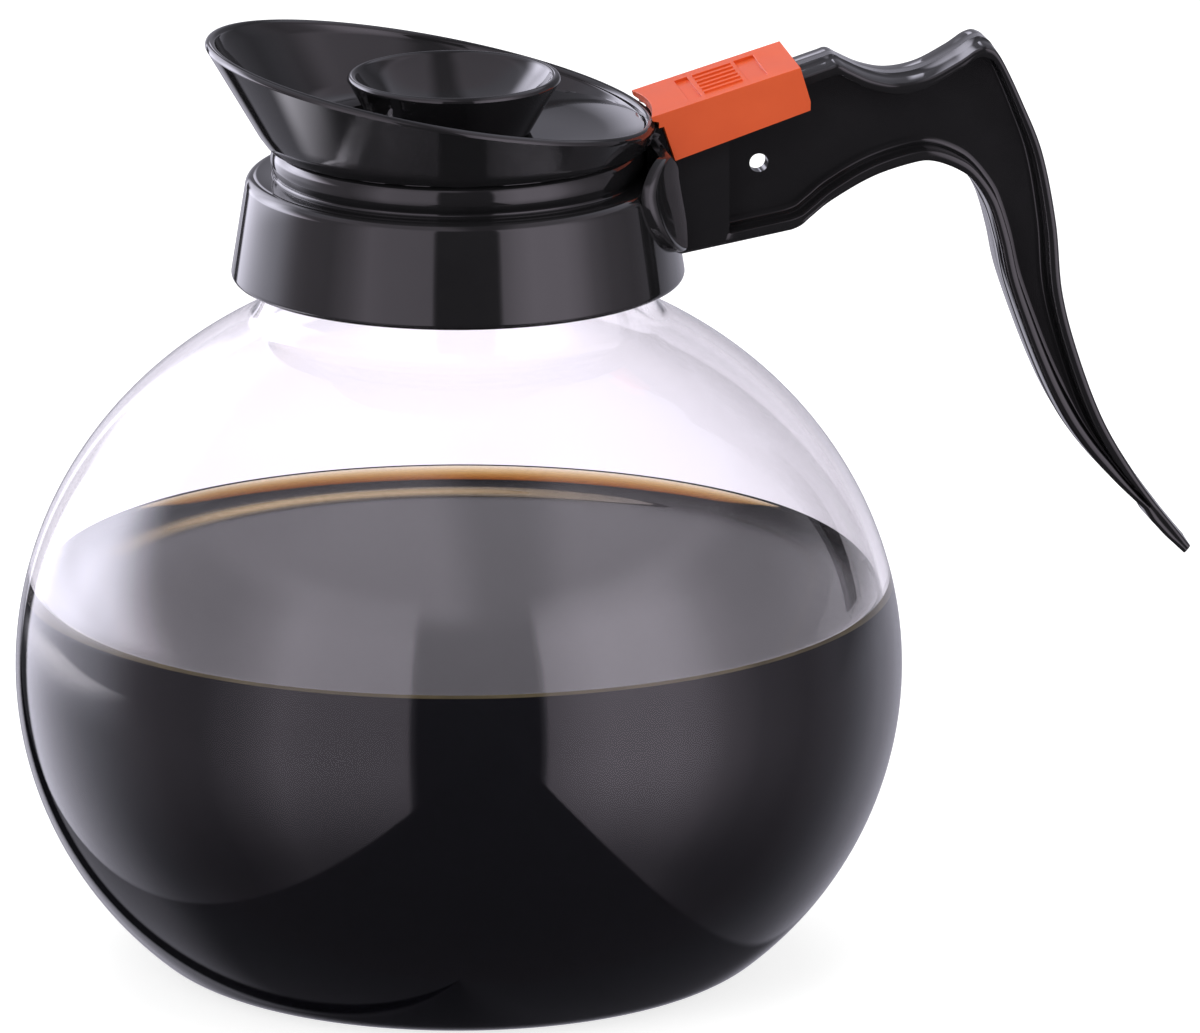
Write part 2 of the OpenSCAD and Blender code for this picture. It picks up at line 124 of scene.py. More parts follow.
# Handle
ROOT_X = COLLAR_TOP_R - 1.3
REACH = 100.0
SPAN = 99.0
HANDLE_HALF_W = 7.7
WEB_HALF_T = 1.6
FLANGE_T = 2.3
CROWN = 0.22
HANG_R = 1.75
HANG_X = ROOT_X + 18.5

# Saddle
SADDLE_LOW = COLLAR_LOW + 6.4
SADDLE_TOP = COLLAR_TOP + 6.0
SADDLE_HALF_W = 25.0
SADDLE_T = 1.8
SADDLE_EDGE = 0.8
SADDLE_LOW_ROUND = 11.5
SADDLE_TOP_ROUND = 7.0


# ---------------------------------------------------------------- curves

def smooth(t):
    """0 at 0, 1 at 1, level at both ends."""
    t = min(max(t, 0.0), 1.0)
    return t * t * (3 - 2 * t)


def mix(a, b, t):
    return a + (b - a) * t


def full_turn(steps):
    """Angles of equal steps round a circle."""
    return [2 * math.pi * k / steps for k in range(steps)]


def arc(cx, cy, r, a0, a1, n):
    """Points of an arc; the angles are in degrees."""
    angles = [math.radians(mix(a0, a1, i / n)) for i in range(n + 1)]
    return [(cx + r * math.cos(a), cy + r * math.sin(a)) for a in angles]


def rounded(corners, steps=5, closed=False):
    """A polyline through (x, y, radius) corners, each one turned into an arc of its radius."""
    out = []
    n = len(corners)
    for i, (x, y, r) in enumerate(corners):
        p = Vector((x, y))
        if r == 0 or (not closed and i in (0, n - 1)):
            out.append((x, y))
            continue
        a = (Vector(corners[i - 1][:2]) - p).normalized()
        b = (Vector(corners[(i + 1) % n][:2]) - p).normalized()
        half = a.angle(b) / 2
        reach = r / math.tan(half)
        middle = p + (a + b).normalized() * (r / math.sin(half))
        start = p + a * reach - middle
        end = p + b * reach - middle
        turn = start.angle_signed(end)
        for k in range(steps + 1):
            v = start.copy()
            v.rotate(Matrix.Rotation(-turn * k / steps, 2))
            out.append(tuple(middle + v))
    return out


def bezier(points, steps):
    """Points of the cubic curve with four control points, without its start."""
    out = []
    for i in range(1, steps + 1):
        t = i / steps
        weights = ((1 - t) ** 3, 3 * t * (1 - t) ** 2, 3 * t ** 2 * (1 - t), t ** 3)
        out.append(tuple(sum(w * p[axis] for w, p in zip(weights, points)) for axis in (0, 1)))
    return out


def spline(knots, i, t):
    """A smooth curve through every knot; i is the stretch and t the share of it."""
    last = len(knots) - 1
    around = [knots[max(0, min(last, i + k))] for k in (-1, 0, 1, 2)]
    out = []
    for a, b, c, d in zip(*around):
        square = (2 * a - 5 * b + 4 * c - d) * t ** 2
        cube = (3 * b - a - 3 * c + d) * t ** 3
        out.append(0.5 * (2 * b + (c - a) * t + square + cube))
    return tuple(out)


def interpolate(table, u):
    for (a0, b0), (a1, b1) in zip(table, table[1:]):
        if u <= a1:
            return mix(b0, b1, (u - a0) / (a1 - a0))
    return table[-1][1]


# ---------------------------------------------------------------- meshes

def new_mesh(name, verts, faces):
    """A mesh from vertices in millimetres."""
    mesh = bpy.data.meshes.new(name)
    mesh.from_pydata([(x * MM, y * MM, z * MM) for x, y, z in verts], [], faces)
    return mesh


def add_object(name, data):
    obj = bpy.data.objects.new(name, data)
    bpy.context.scene.collection.objects.link(obj)
    return obj


def make_object(name, shape, material, body, nodes=(), sharp=35):
    """A piece from vertices and faces; it rides on a body and stands for the named CAD nodes."""
    mesh = new_mesh(name, *shape)
    mesh.validate()
    mesh.update()
    mesh.shade_smooth()
    if sharp:
        mesh.set_sharp_from_angle(angle=math.radians(sharp))
    obj = add_object(name, mesh)
    mesh.materials.append(material)
    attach(obj, body)
    if nodes:
        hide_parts(*nodes)
    return obj


def add_bevel(obj, width, segments):
    bevel = obj.modifiers.new("soft_edges", "BEVEL")
    bevel.width = width * MM
    bevel.segments = segments
    bevel.limit_method = "ANGLE"
    bevel.angle_limit = math.radians(40)
    bevel.harden_normals = True


def revolve(profile, steps=192, closed=False, shift=0.0):
    """Vertices and faces of a profile of (radius, height) turned about the Z axis."""
    verts = []
    rows = []
    for r, z in profile:
        if r == 0:
            rows.append([len(verts)] * steps)
            verts.append((shift, 0.0, z))
            continue
        rows.append(list(range(len(verts), len(verts) + steps)))
        verts += [(shift + r * math.cos(a), r * math.sin(a), z) for a in full_turn(steps)]
    faces = []
    pairs = list(zip(rows, rows[1:]))
    if closed:
        pairs.append((rows[-1], rows[0]))
    for low, high in pairs:
        for k in range(steps):
            n = (k + 1) % steps
            ring = [low[k], low[n], high[n], high[k]]
            face = [v for j, v in enumerate(ring) if v != ring[j - 1]]
            if len(face) > 2:
                faces.append(face)
    return verts, faces


def grid_faces(rows, columns, around=False, along=False):
    """Faces between rows of points; around joins the ends of a row, along the last row to the first."""
    faces = []
    for i in range(rows if along else rows - 1):
        a = i * columns
        b = (i + 1) % rows * columns
        for j in range(columns if around else columns - 1):
            k = (j + 1) % columns
            faces.append([a + j, b + j, b + k, a + k])
    return faces


def loft(rings, closed=True, caps=False):
    """Vertices and faces through rings of equal length; each ring is a closed loop."""
    m = len(rings[0])
    count = len(rings)
    faces = grid_faces(count, m, True, closed)
    if caps:
        faces.append(list(range(m)))
        faces.append(list(range((count - 1) * m, count * m))[::-1])
    return [p for ring in rings for p in ring], faces


# ---------------------------------------------------------------- node trees

WHITE = (1.0, 1.0, 1.0, 1.0)


def grey(value):
    return (value, value, value)


class Tree:
    """A node tree, with short ways to the nodes that are used again and again."""

    def __init__(self, tree):
        self.nodes = tree.nodes
        self.links = tree.links

    def new(self, kind):
        return self.nodes.new("ShaderNode" + kind)

    def put(self, socket, value):
        """Sets a socket to a number or a colour, or links another socket to it."""
        if isinstance(value, (int, float, tuple)):
            socket.default_value = value
        else:
            self.links.new(value, socket)

    def fill(self, node, values):
        for name, value in values.items():
            self.put(node.inputs[name], value)

    def axes(self, kind):
        """The three parts of a texture coordinate."""
        split = self.new("SeparateXYZ")
        self.put(split.inputs["Vector"], self.new("TexCoord").outputs[kind])
        return [split.outputs[axis] for axis in "XYZ"]

    def noise(self, scale, detail, roughness):
        noise = self.new("TexNoise")
        place = self.new("TexCoord").outputs["Object"]
        self.fill(noise, {"Vector": place, "Scale": scale, "Detail": detail, "Roughness": roughness})
        return noise.outputs["Fac"]

    def ramp(self, source, stops):
        """A colour ramp through (place, colour) stops."""
        ramp = self.new("ValToRGB")
        elements = ramp.color_ramp.elements
        while len(elements) < len(stops):
            elements.new(0.5)
        for element, (place, color) in zip(elements, stops):
            element.position = place
            element.color = (*color, 1.0)
        self.put(ramp.inputs["Fac"], source)
        return ramp.outputs["Color"]

    def bump(self, source, strength, distance):
        bump = self.new("Bump")
        self.fill(bump, {"Strength": strength, "Distance": distance, "Height": source})
        return bump.outputs["Normal"]

    def emission(self, color, strength):
        glow = self.new("Emission")
        self.fill(glow, {"Color": color, "Strength": strength})
        return glow.outputs["Emission"]

    def transparent(self, color):
        clear = self.new("BsdfTransparent")
        self.put(clear.inputs["Color"], color)
        return clear.outputs["BSDF"]

    def mix_shaders(self, share, a, b):
        """Shader a where share is 0 and b where it is 1."""
        node = self.new("MixShader")
        for socket, value in zip(node.inputs, (share, a, b)):
            self.put(socket, value)
        return node.outputs["Shader"]

    def finish(self, output, socket):
        self.put(self.nodes["Material Output"].inputs[output], socket)

    def math(self, operation, a, b=0.0):
        node = self.new("Math")
        node.operation = operation
        self.put(node.inputs[0], a)
        self.put(node.inputs[1], b)
        return node.outputs[0]

    def product(self, *values):
        out = values[0]
        for value in values[1:]:
            out = self.math("MULTIPLY", out, value)
        return out

    def total(self, *values):
        out = values[0]
        for value in values[1:]:
            out = self.math("ADD", out, value)
        return out

    def lift(self, base, share, gain):
        """The base and gain times the share."""
        return self.total(base, self.product(share, gain))

    def rest(self, share):
        return self.math("SUBTRACT", 1.0, share)

    def step(self, value, off, on):
        """0 at off, 1 at on, smooth between them; either may be the higher one."""
        node = self.new("MapRange")
        node.interpolation_type = "SMOOTHSTEP"
        flip = off > on
        self.fill(node, {
            "Value": value,
            "From Min": min(off, on),
            "From Max": max(off, on),
            "To Min": 1.0 if flip else 0.0,
            "To Max": 0.0 if flip else 1.0})
        return node.outputs["Result"]

    def blend(self, share, a, b):
        """The number a where share is 0 and b where it is 1."""
        node = self.new("Mix")
        node.data_type = "FLOAT"
        for index, value in ((0, share), (2, a), (3, b)):
            self.put(node.inputs[index], value)
        return node.outputs[0]

    def tint(self, share, a, b):
        """The colour a where share is 0 and b where it is 1."""
        node = self.new("Mix")
        node.data_type = "RGBA"
        for index, value in ((0, share), (6, a), (7, b)):
            self.put(node.inputs[index], value)
        return node.outputs[2]


# ---------------------------------------------------------------- materials

def new_material(name):
    """A material with its tree and its shader."""
    material = bpy.data.materials.new(name)
    material.use_nodes = True
    tree = Tree(material.node_tree)
    return material, tree, tree.nodes["Principled BSDF"]


def plastic_material(name, dark, light, rough, peel):
    """Moulded plastic: faint mottling in its colour and gloss, and the slight waviness of a mould."""
    material, tree, shader = new_material(name)
    mottle = tree.noise(60.0, 4.0, 0.6)
    wave = tree.noise(90.0, 1.0, 0.4)
    tree.fill(shader, {
        "Base Color": tree.ramp(mottle, [(0.3, dark), (0.7, light)]),
        "Roughness": tree.ramp(mottle, [(0.2, grey(rough[0])), (0.8, grey(rough[1]))]),
        "IOR": 1.5,
        "Normal": tree.bump(wave, peel, 0.0006)})
    return material


def glass_material():
    """Clear glass that lets the lamps' light through to what is inside it."""
    material, tree, shader = new_material("clear_glass")
    wave = tree.noise(14.0, 1.0, 0.3)
    tree.fill(shader, {
        "Base Color": (0.988, 0.98, 0.992, 1.0),
        "Transmission Weight": 1.0,
        "IOR": 1.47,
        "Roughness": tree.ramp(wave, [(0.3, grey(0.0)), (0.8, grey(0.012))]),
        "Normal": tree.bump(wave, 0.05, 0.001)})
    clear = tree.transparent((0.96, 0.97, 0.97, 1.0))
    in_shadow = tree.new("LightPath").outputs["Is Shadow Ray"]
    tree.finish("Surface", tree.mix_shaders(in_shadow, shader.outputs["BSDF"], clear))
    return material


def coffee_material():
    """Coffee: clear brown where it is thin, at its edge on the glass, and black where it is deep."""
    material, tree, shader = new_material("coffee")
    tree.fill(shader, {
        "Base Color": WHITE,
        "Transmission Weight": 1.0,
        "Roughness": 0.0,
        "IOR": 1.33,
        "Normal": tree.bump(tree.noise(25.0, 1.0, 0.3), 0.02, 0.0005)})
    depth = tree.new("VolumeAbsorption")
    tree.fill(depth, {"Color": (0.75, 0.543, 0.143, 1.0), "Density": 1500.0})
    tree.finish("Volume", depth.outputs["Volume"])
    return material


def matt_material(name, noise, dark, light, rough, specular=0.0):
    """A surface without shine, mottled between two colours."""
    material, tree, shader = new_material(name)
    tree.fill(shader, {
        "Base Color": tree.ramp(tree.noise(*noise), [(0.3, dark), (0.7, light)]),
        "Roughness": rough,
        "Specular IOR Level": specular})
    return material, tree, shader


def deep_coffee_and_shade_material():
    """The coffee's sides against the glass, through which nothing shines; the same matt dark also paints
    shade on a thin band of the surface at the near edge.
    """
    dark = (0.0055, 0.0058, 0.0076)
    light = (0.0065, 0.0068, 0.0088)
    return matt_material("deep_coffee_and_painted_shade", (20.0, 2.0, 0.5), dark, light, 1.0)[0]


def film_painted_glow_material():
    """The thin brown film where the coffee touches the near side of the glass, painted in matt tan as a
    painted glow that stands in for the light shining through the coffee's climbing edge there.
    """
    dark = (0.085, 0.07, 0.04)
    light = (0.14, 0.115, 0.065)
    return matt_material("coffee_film_painted_glow", (120.0, 2.0, 0.5), dark, light, 0.5)[0]


def foam_material():
    """Tan foam that thins out towards both sides and both ends of its line."""
    dark = (0.62, 0.43, 0.24)
    light = (0.8, 0.6, 0.38)
    material, tree, shader = matt_material("coffee_foam", (700.0, 2.0, 0.6), dark, light, 0.6, 0.1)
    x, y, _ = tree.axes("Object")
    r = tree.math("SQRT", tree.total(tree.product(x, x), tree.product(y, y)))
    middle = mix(FOAM_IN, FOAM_OUT, 0.5) * MM
    across = tree.product(tree.step(r, FOAM_IN * MM, middle), tree.step(r, FOAM_OUT * MM, middle))
    along = tree.step(tree.math("ABSOLUTE", tree.math("ADD", x, 0.012)), 0.056, 0.014)
    tree.put(shader.inputs["Alpha"], tree.product(across, along, 0.85))
    return material


def rubber_material():
    material, tree, shader = new_material("gasket_rubber")
    grain = tree.noise(900.0, 3.0, 0.6)
    tree.fill(shader, {
        "Base Color": tree.ramp(grain, [(0.3, grey(0.02)), (0.7, grey(0.045))]),
        "Roughness": 0.7,
        "Normal": tree.bump(grain, 0.3, 0.0002)})
    return material


def steel_material():
    material, tree, shader = new_material("steel")
    grain = tree.noise(1500.0, 2.0, 0.5)
    tree.fill(shader, {
        "Base Color": (0.62, 0.61, 0.6, 1.0),
        "Metallic": 1.0,
        "Roughness": tree.ramp(grain, [(0.2, grey(0.22)), (0.8, grey(0.38))])})
    return material


# ---------------------------------------------------------------- bowl

def bowl_outline():
    """Outside of the glass, from the axis at the foot to the neck, as (radius, height)."""
    side_in = BOWL_R - FOOT_R
    side_up = BOWL_MID - FOOT_ROUND
    side_r = (side_in ** 2 + side_up ** 2 - FOOT_ROUND ** 2) / (2 * (side_in - FOOT_ROUND))
    side_x = BOWL_R - side_r
    side_end = math.degrees(math.atan2(FOOT_ROUND - BOWL_MID, FOOT_R - side_x))
    points = [(0.0, 0.0), (20.0, 0.0), (38.0, 0.0)]
    points += arc(FOOT_R, FOOT_ROUND, FOOT_ROUND, -90, side_end, 14)
    points += arc(side_x, BOWL_MID, side_r, side_end, 0, 32)[1:]
    dome_end = math.acos((NECK_R + TURN_OUT) / BOWL_R)
    dome_steps = 40
    for i in range(1, dome_steps + 1):
        a = dome_end * i / dome_steps
        points.append((BOWL_R * math.cos(a), BOWL_MID + BOWL_RISE * math.sin(a)))
    # The dome turns softly into the neck
    last = Vector(points[-1])
    way = Vector((-BOWL_R * math.sin(dome_end), BOWL_RISE * math.cos(dome_end)))
    corner = last + way * ((NECK_R - last.x) / way.x)
    first = Vector((NECK_R, last.y + TURN_H))
    points += bezier([last, last.lerp(corner, 0.6), first.lerp(corner, 0.6), first], 12)
    points.append((NECK_R, NECK_PLAIN_TO))
    return points


def inside_of(points, wall):
    """The same curve, one wall further in; its first point stays on the axis."""
    inside = []
    for i, (r, z) in enumerate(points):
        a = points[max(i - 1, 0)]
        b = points[min(i + 1, len(points) - 1)]
        along = Vector((b[0] - a[0], b[1] - a[1])).normalized()
        inside.append((max(r - along.y * wall, 0.0), z + along.x * wall))
    return inside


def wall_r(z):
    """Radius of the glass's inside at a height."""
    inside = inside_of(bowl_outline(), GLASS_WALL)
    for (r0, z0), (r1, z1) in zip(inside, inside[1:]):
        if z0 <= z <= z1 and z1 > z0:
            return mix(r0, r1, (z - z0) / (z1 - z0))
    return BOWL_R - GLASS_WALL


def make_bowl(material):
    outside = bowl_outline()
    inside = inside_of(outside, GLASS_WALL)
    lip_mid = NECK_TOP - LIP_ROUND
    outside.append((NECK_R, lip_mid - LIP_ROUND - 0.3))
    lip = arc(NECK_R, lip_mid, LIP_ROUND, -80, 160, 16)
    inside.append((NECK_R - GLASS_WALL, lip_mid - 1.0))
    shape = revolve(outside + lip + inside[::-1], 256)
    make_object("bowl_glass", shape, material, BODY, ["glass_bowl"], sharp=0)


# ---------------------------------------------------------------- coffee

# Points of the coffee's outline: along its edge on the glass, and from there inwards
WET_STEPS = 8
EDGE_STEPS = 24
# Steps inwards from the glass on the near side that are painted shade: matt dark coffee in place of the
# surface's reflection
PAINTED_SHADE_STEPS = 5


def coffee_profile(inside, angle):
    """The coffee's outline at an angle: up the glass, over its climbing edge and in to the axis."""
    far = smooth((math.sin(angle) + 0.75) / 1.3)
    high = mix(EDGE_NEAR[0], EDGE_FAR[0], far)
    reach = mix(EDGE_NEAR[1], EDGE_FAR[1], far)
    low = mix(LEVEL + 0.5, LEVEL - 1.0, far)
    profile = [(0.5, inside[0][1])] + inside[1:]
    for k in range(WET_STEPS + 1):
        z = mix(low, LEVEL + high, k / WET_STEPS)
        profile.append((wall_r(z) + WET_IN, z))
    for k in range(1, EDGE_STEPS + 1):
        gap = EDGE_WIDE * (k / EDGE_STEPS) ** 2
        z = LEVEL + high * math.exp(-gap / reach)
        profile.append((wall_r(z) - gap, z))
    return profile + [(wall_r(LEVEL) * share, LEVEL) for share in (0.6, 0.3, 0.02)]


def make_coffee(clear, deep, film):
    """The coffee fills the bowl; its sides are dark, with a brown film at the near edge that is a painted
    glow of light through it, and a thin band of painted shade on the surface just inside the film.
    """
    inside = [p for p in inside_of(bowl_outline(), GLASS_WALL - WET_IN) if p[1] < LEVEL - 1.0]
    steps = 256
    verts = []
    for a in full_turn(steps):
        verts += [(r * math.cos(a), r * math.sin(a), z) for r, z in coffee_profile(inside, a)]
    m = len(verts) // steps
    faces = grid_faces(steps, m, along=True)
    faces.append([i * m for i in range(steps)][::-1])
    faces.append([i * m + m - 1 for i in range(steps)])
    coffee = make_object("coffee", (verts, faces), clear, BODY, sharp=0)
    coffee.data.materials.append(deep)
    coffee.data.materials.append(film)
    is_clear, is_deep_and_shade, is_film_glow = 0, 1, 2
    sides = len(inside)
    edge = sides + WET_STEPS + 1
    kinds = []
    for i in range(steps):
        near = i > steps / 2
        for j in range(m - 1):
            # Near side only: the wetted strip up the glass carries the film's painted glow, and the next
            # steps inwards carry painted shade
            if j < sides or (near and edge <= j < edge + PAINTED_SHADE_STEPS):
                kinds.append(is_deep_and_shade)
            else:
                kinds.append(is_film_glow if near and j < edge else is_clear)
    kinds += [is_deep_and_shade, is_clear]
    for face, kind in zip(coffee.data.polygons, kinds):
        face.material_index = kind


def make_foam(material):
    steps = 96
    columns = 6
    verts = []
    for i in range(steps + 1):
        a = math.radians(90 + mix(-FOAM_TURN, FOAM_TURN, i / steps))
        radii = [mix(FOAM_IN, FOAM_OUT, k / columns) for k in range(columns + 1)]
        verts += [(r * math.cos(a), r * math.sin(a), LEVEL + FOAM_UP) for r in radii]
    shape = (verts, grid_faces(steps + 1, columns + 1))
    make_object("coffee_foam", shape, material, BODY, sharp=0)


# ---------------------------------------------------------------- collar

def skirt_r(z):
    return mix(COLLAR_LOW_R, COLLAR_TOP_R, (z - COLLAR_LOW) / COLLAR_H)


def make_collar(material):
    inner_low = COLLAR_LOW_R - COLLAR_WALL
    bead = []
    for k in range(19):
        a = math.radians(mix(-50, 90, k / 18))
        bead.append((BEAD_R - BEAD_OUT * (1 - math.cos(a)), COLLAR_TOP + BEAD_H / 2 * (1 + math.sin(a))))
    corners = [
        (inner_low, COLLAR_LOW + 4, 0),
        (inner_low, COLLAR_LOW, 0.5),
        (COLLAR_LOW_R, COLLAR_LOW, 1.0),
        (COLLAR_TOP_R, COLLAR_TOP, SHOULDER_ROUND),
        (bead[0][0] - 0.3, COLLAR_TOP, 0.5),
        (*bead[0], 0)]
    outer = rounded(corners, 8)[:-1] + bead
    lip_room = NECK_R + LIP_ROUND + 0.1
    inner = [
        (THROAT_R, BEAD_TOP),
        (THROAT_R, PLATE_UNDER),
        (lip_room, PLATE_UNDER),
        (lip_room, LIP_ROOM_LOW),
        (skirt_r(LIP_ROOM_LOW) - COLLAR_WALL, LIP_ROOM_LOW - 0.4)]
    shape = revolve(outer + inner, 256, closed=True)
    make_object("collar_shell", shape, material, BODY, ["collar"])


# ---------------------------------------------------------------- funnel

def funnel_section(angle):
    """A closed loop through the wall: up the outside, over the rounded lip and down the inside."""
    c = math.cos(angle)
    s = math.sin(angle)
    x = RIM_R * c - RIM_SHIFT
    half = FUNNEL_WALL / 2
    base = Vector((BASE_R * c, BASE_R * s, BEAD_TOP))
    rim = Vector((x, RIM_R * s, RIM_MID - half - RIM_FALL * x))
    inward = Vector((-c, -s, 0.0))
    up = Vector((0, 0, 1))
    ring = [base + inward * 1.2, base + inward * 0.35 + up * 0.12, base + up * 0.5]
    ring += [base.lerp(rim, k / 8) for k in range(1, 8)]
    for k in range(13):
        b = math.pi * k / 12
        ring.append(rim + inward * half * (1 - math.cos(b)) + up * half * math.sin(b))
    floor_edge = base + inward * FUNNEL_WALL + up * FLOOR_T
    inner_rim = rim + inward * FUNNEL_WALL
    ring += [inner_rim.lerp(floor_edge, k / 8.6) for k in range(1, 9)]
    ring += [floor_edge + inward * 0.5 + up * 0.12, floor_edge + inward * 1.2, base + inward * 3.0]
    return [tuple(p) for p in ring]


def make_funnel(material):
    """The wall is ruled between the round base and the sloping rim."""
    shape = loft([funnel_section(a) for a in full_turn(320)])
    make_object("funnel_wall", shape, material, BODY, ["spout_funnel"])


def floor_columns():
    """Lines across the floor: (start, end, spoke at the start, spoke at the end, share, is it a slot)."""
    columns = []
    for s in range(SLOTS):
        start = math.radians(mix(90, 270, s / SLOTS))
        end = math.radians(mix(90, 270, (s + 1) / SLOTS))
        if s:
            columns.append((start, start, 0, 0, 0.0, False))
        for k in range(17):
            columns.append((start, end, int(s > 0), int(s < SLOTS - 1), k / 16, k < 16))
    for k in range(1, 32):
        a = math.radians(mix(270, 450, k / 32))
        columns.append((a, a, 0, 0, 0.0, False))
    return columns


def floor_point(column, r, z):
    """Point of the floor on a column; the spokes keep their width at each radius."""
    start, end, spoke_a, spoke_b, share, _ = column
    edge = math.asin(HALF_SPOKE / r)
    a = mix(start + spoke_a * edge, end - spoke_b * edge, share)
    dish = max(r - DISH_FROM, 0.0) / DISH_WIDE if z == FLOOR_TOP else 0.0
    return (r * math.cos(a), r * math.sin(a), z + DISH_UP * max(math.cos(a), 0.0) * dish * dish)


def make_funnel_floor(material):
    """Floor plate with pouring slots on the spout's side and spokes between them."""
    radii = [HUB_R, SLOT_IN_R, 19.0, 23.0, SLOT_OUT_R]
    radii += [mix(SLOT_OUT_R, FLOOR_OUT_R, k / 6) for k in range(1, 7)]
    columns = floor_columns()
    verts = [floor_point(column, r, z) for z in (FLOOR_TOP, BEAD_TOP) for r in radii for column in columns]
    n = len(columns)
    m = len(radii)

    def index(side, ring, col):
        return (side * m + ring) * n + col % n

    def is_hole(ring, col):
        return 1 <= ring <= 3 and columns[col % n][-1]

    faces = []
    for ring in range(m - 1):
        for col in range(n):
            if is_hole(ring, col):
                continue
            quad = [(ring, col), (ring + 1, col), (ring + 1, col + 1), (ring, col + 1)]
            faces.append([index(0, *q) for q in quad])
            faces.append([index(1, *q) for q in reversed(quad)])
            around = [
                ((ring - 1, col), quad[0], quad[3]),
                ((ring + 1, col), quad[2], quad[1]),
                ((ring, col - 1), quad[1], quad[0]),
                ((ring, col + 1), quad[3], quad[2])]
            for (r2, c2), a, b in around:
                if is_hole(r2, c2) or r2 in (-1, m - 1):
                    faces.append([index(0, *a), index(1, *a), index(1, *b), index(0, *b)])
    floor = make_object("funnel_floor", (verts, faces), material, BODY)
    add_bevel(floor, 0.25, 2)


def make_spigot(material):
    """The short tube below the floor that holds the funnel in the collar's throat."""
    profile = rounded([
        (SPIGOT_R - FUNNEL_WALL, BEAD_TOP + 0.4, 0),
        (SPIGOT_R - FUNNEL_WALL, SPIGOT_LOW, 0.3),
        (SPIGOT_R, SPIGOT_LOW, 0.3),
        (SPIGOT_R, BEAD_TOP + 0.4, 0)])
    shape = revolve(profile, 192, closed=True)
    make_object("funnel_spigot", shape, material, BODY)


def make_hub(material):
    """The tube in the middle of the floor that takes the cup's stem."""
    bore_r = STEM_R + 0.3
    profile = rounded([
        (bore_r, FLOOR_TOP, 0.3),
        (bore_r, SPIGOT_LOW, 0.3),
        (HUB_R, SPIGOT_LOW, 0.3),
        (HUB_R + 0.1, FLOOR_TOP, 0.1)], 3, True)
    shape = revolve(profile, 128, closed=True, shift=-CUP_SHIFT)
    make_object("funnel_hub", shape, material, BODY)


# ---------------------------------------------------------------- drip cup

def make_cup(material):
    """A dished cup on a hollow stem."""
    half = CUP_WALL / 2
    rim_z = CUP_TOP - half
    deep_z = CUP_TOP - 0.8 * (CUP_TOP - CUP_FOOT)
    dish_r = CUP_FOOT_R - CUP_WALL
    profile = rounded([
        (STEM_BORE_R, STEM_LOW, 0),
        (STEM_R, STEM_LOW, 0.4),
        (STEM_R, CUP_FOOT, 0.3),
        (CUP_FOOT_R, CUP_FOOT, 0.6),
        (CUP_R, rim_z, 0)], 5)
    profile[0] = (STEM_BORE_R + 0.4, STEM_LOW)
    profile += arc(CUP_R - half, rim_z, half, 20, 160, 10)
    dish = [
        (CUP_R - CUP_WALL, rim_z),
        (dish_r + half, deep_z + CUP_WALL),
        (dish_r - CUP_WALL, deep_z),
        (STEM_BORE_R, deep_z - half)]
    profile += bezier(dish, 24)
    profile.append((STEM_BORE_R, STEM_LOW + 0.4))
    shape = revolve(profile, 224, closed=True, shift=-CUP_SHIFT)
    make_object("cup_shell", shape, material, CUP_BODY, ["drip_cup"])


# ---------------------------------------------------------------- handle

# Knots of the handle's top and bottom edges, as shares of its reach and span from the root
TOP_SHARES = [
    (0.0, 0.102), (0.267, 0.182), (0.305, 0.194), (0.325, 0.199), (0.346, 0.188), (0.388, 0.168),
    (0.437, 0.158), (0.493, 0.167), (0.55, 0.195), (0.586, 0.218), (0.609, 0.22), (0.631, 0.198),
    (0.672, 0.111), (0.711, 0.011), (0.738, -0.125), (0.751, -0.259), (0.781, -0.378),
    (0.829, -0.508), (0.888, -0.614), (0.943, -0.693), (0.997, -0.762)]
LOW_SHARES = [
    (0.0, -0.163), (0.237, -0.12), (0.255, -0.112), (0.276, -0.094), (0.314, -0.065), (0.389, -0.024),
    (0.464, -0.001), (0.503, 0.001), (0.549, -0.017), (0.579, -0.041), (0.607, -0.089),
    (0.627, -0.159), (0.646, -0.245), (0.697, -0.389), (0.743, -0.491), (0.79, -0.564),
    (0.847, -0.631), (0.905, -0.69), (0.915, -0.707), (0.944, -0.741), (0.982, -0.779)]
# Knot of the bottom edge that lies across from each knot of the top edge
ACROSS = [
    (0, 0), (0.45, 0.506), (1, 2), (3, 4), (5, 5), (7, 6.3), (10, 8), (12, 9.5), (13, 10.1), (14, 11.2),
    (15, 12.3), (16, 13.2), (17, 14.5), (18, 15.9), (19, 17.2), (20, 20)]
# Each edge is curved between these two knots and straight before and after them
TOP_CURVED = (1, 20)
LOW_CURVED = (1, 17)
# Knots where the pockets beside the web begin and end, and how far their end tapers
POCKET_FROM = 0.45
POCKET_TO = 18.5
POCKET_FADE = 0.35
# Stations above the collar, (knot, x), where the root runs on into the bead and the funnel's wall
ROOT_STATIONS = ((-0.131, ROOT_X - 3.5), (-0.002, ROOT_X - 0.05))


def edge_point(shares, u, curved):
    """Point at knot number u of an edge."""
    i = min(int(u), len(shares) - 2)
    t = u - i
    if curved[0] <= i < curved[1]:
        x, z = spline(shares[curved[0]:curved[1] + 1], i - curved[0], t)
    else:
        x, z = (mix(a, b, t) for a, b in zip(shares[i], shares[i + 1]))
    return Vector((ROOT_X + x * REACH, 0.0, COLLAR_TOP + z * SPAN))


def quarter(steps):
    """Angles of equal steps from 0 to a right angle."""
    return [math.pi / 2 * k / steps for k in range(steps + 1)]


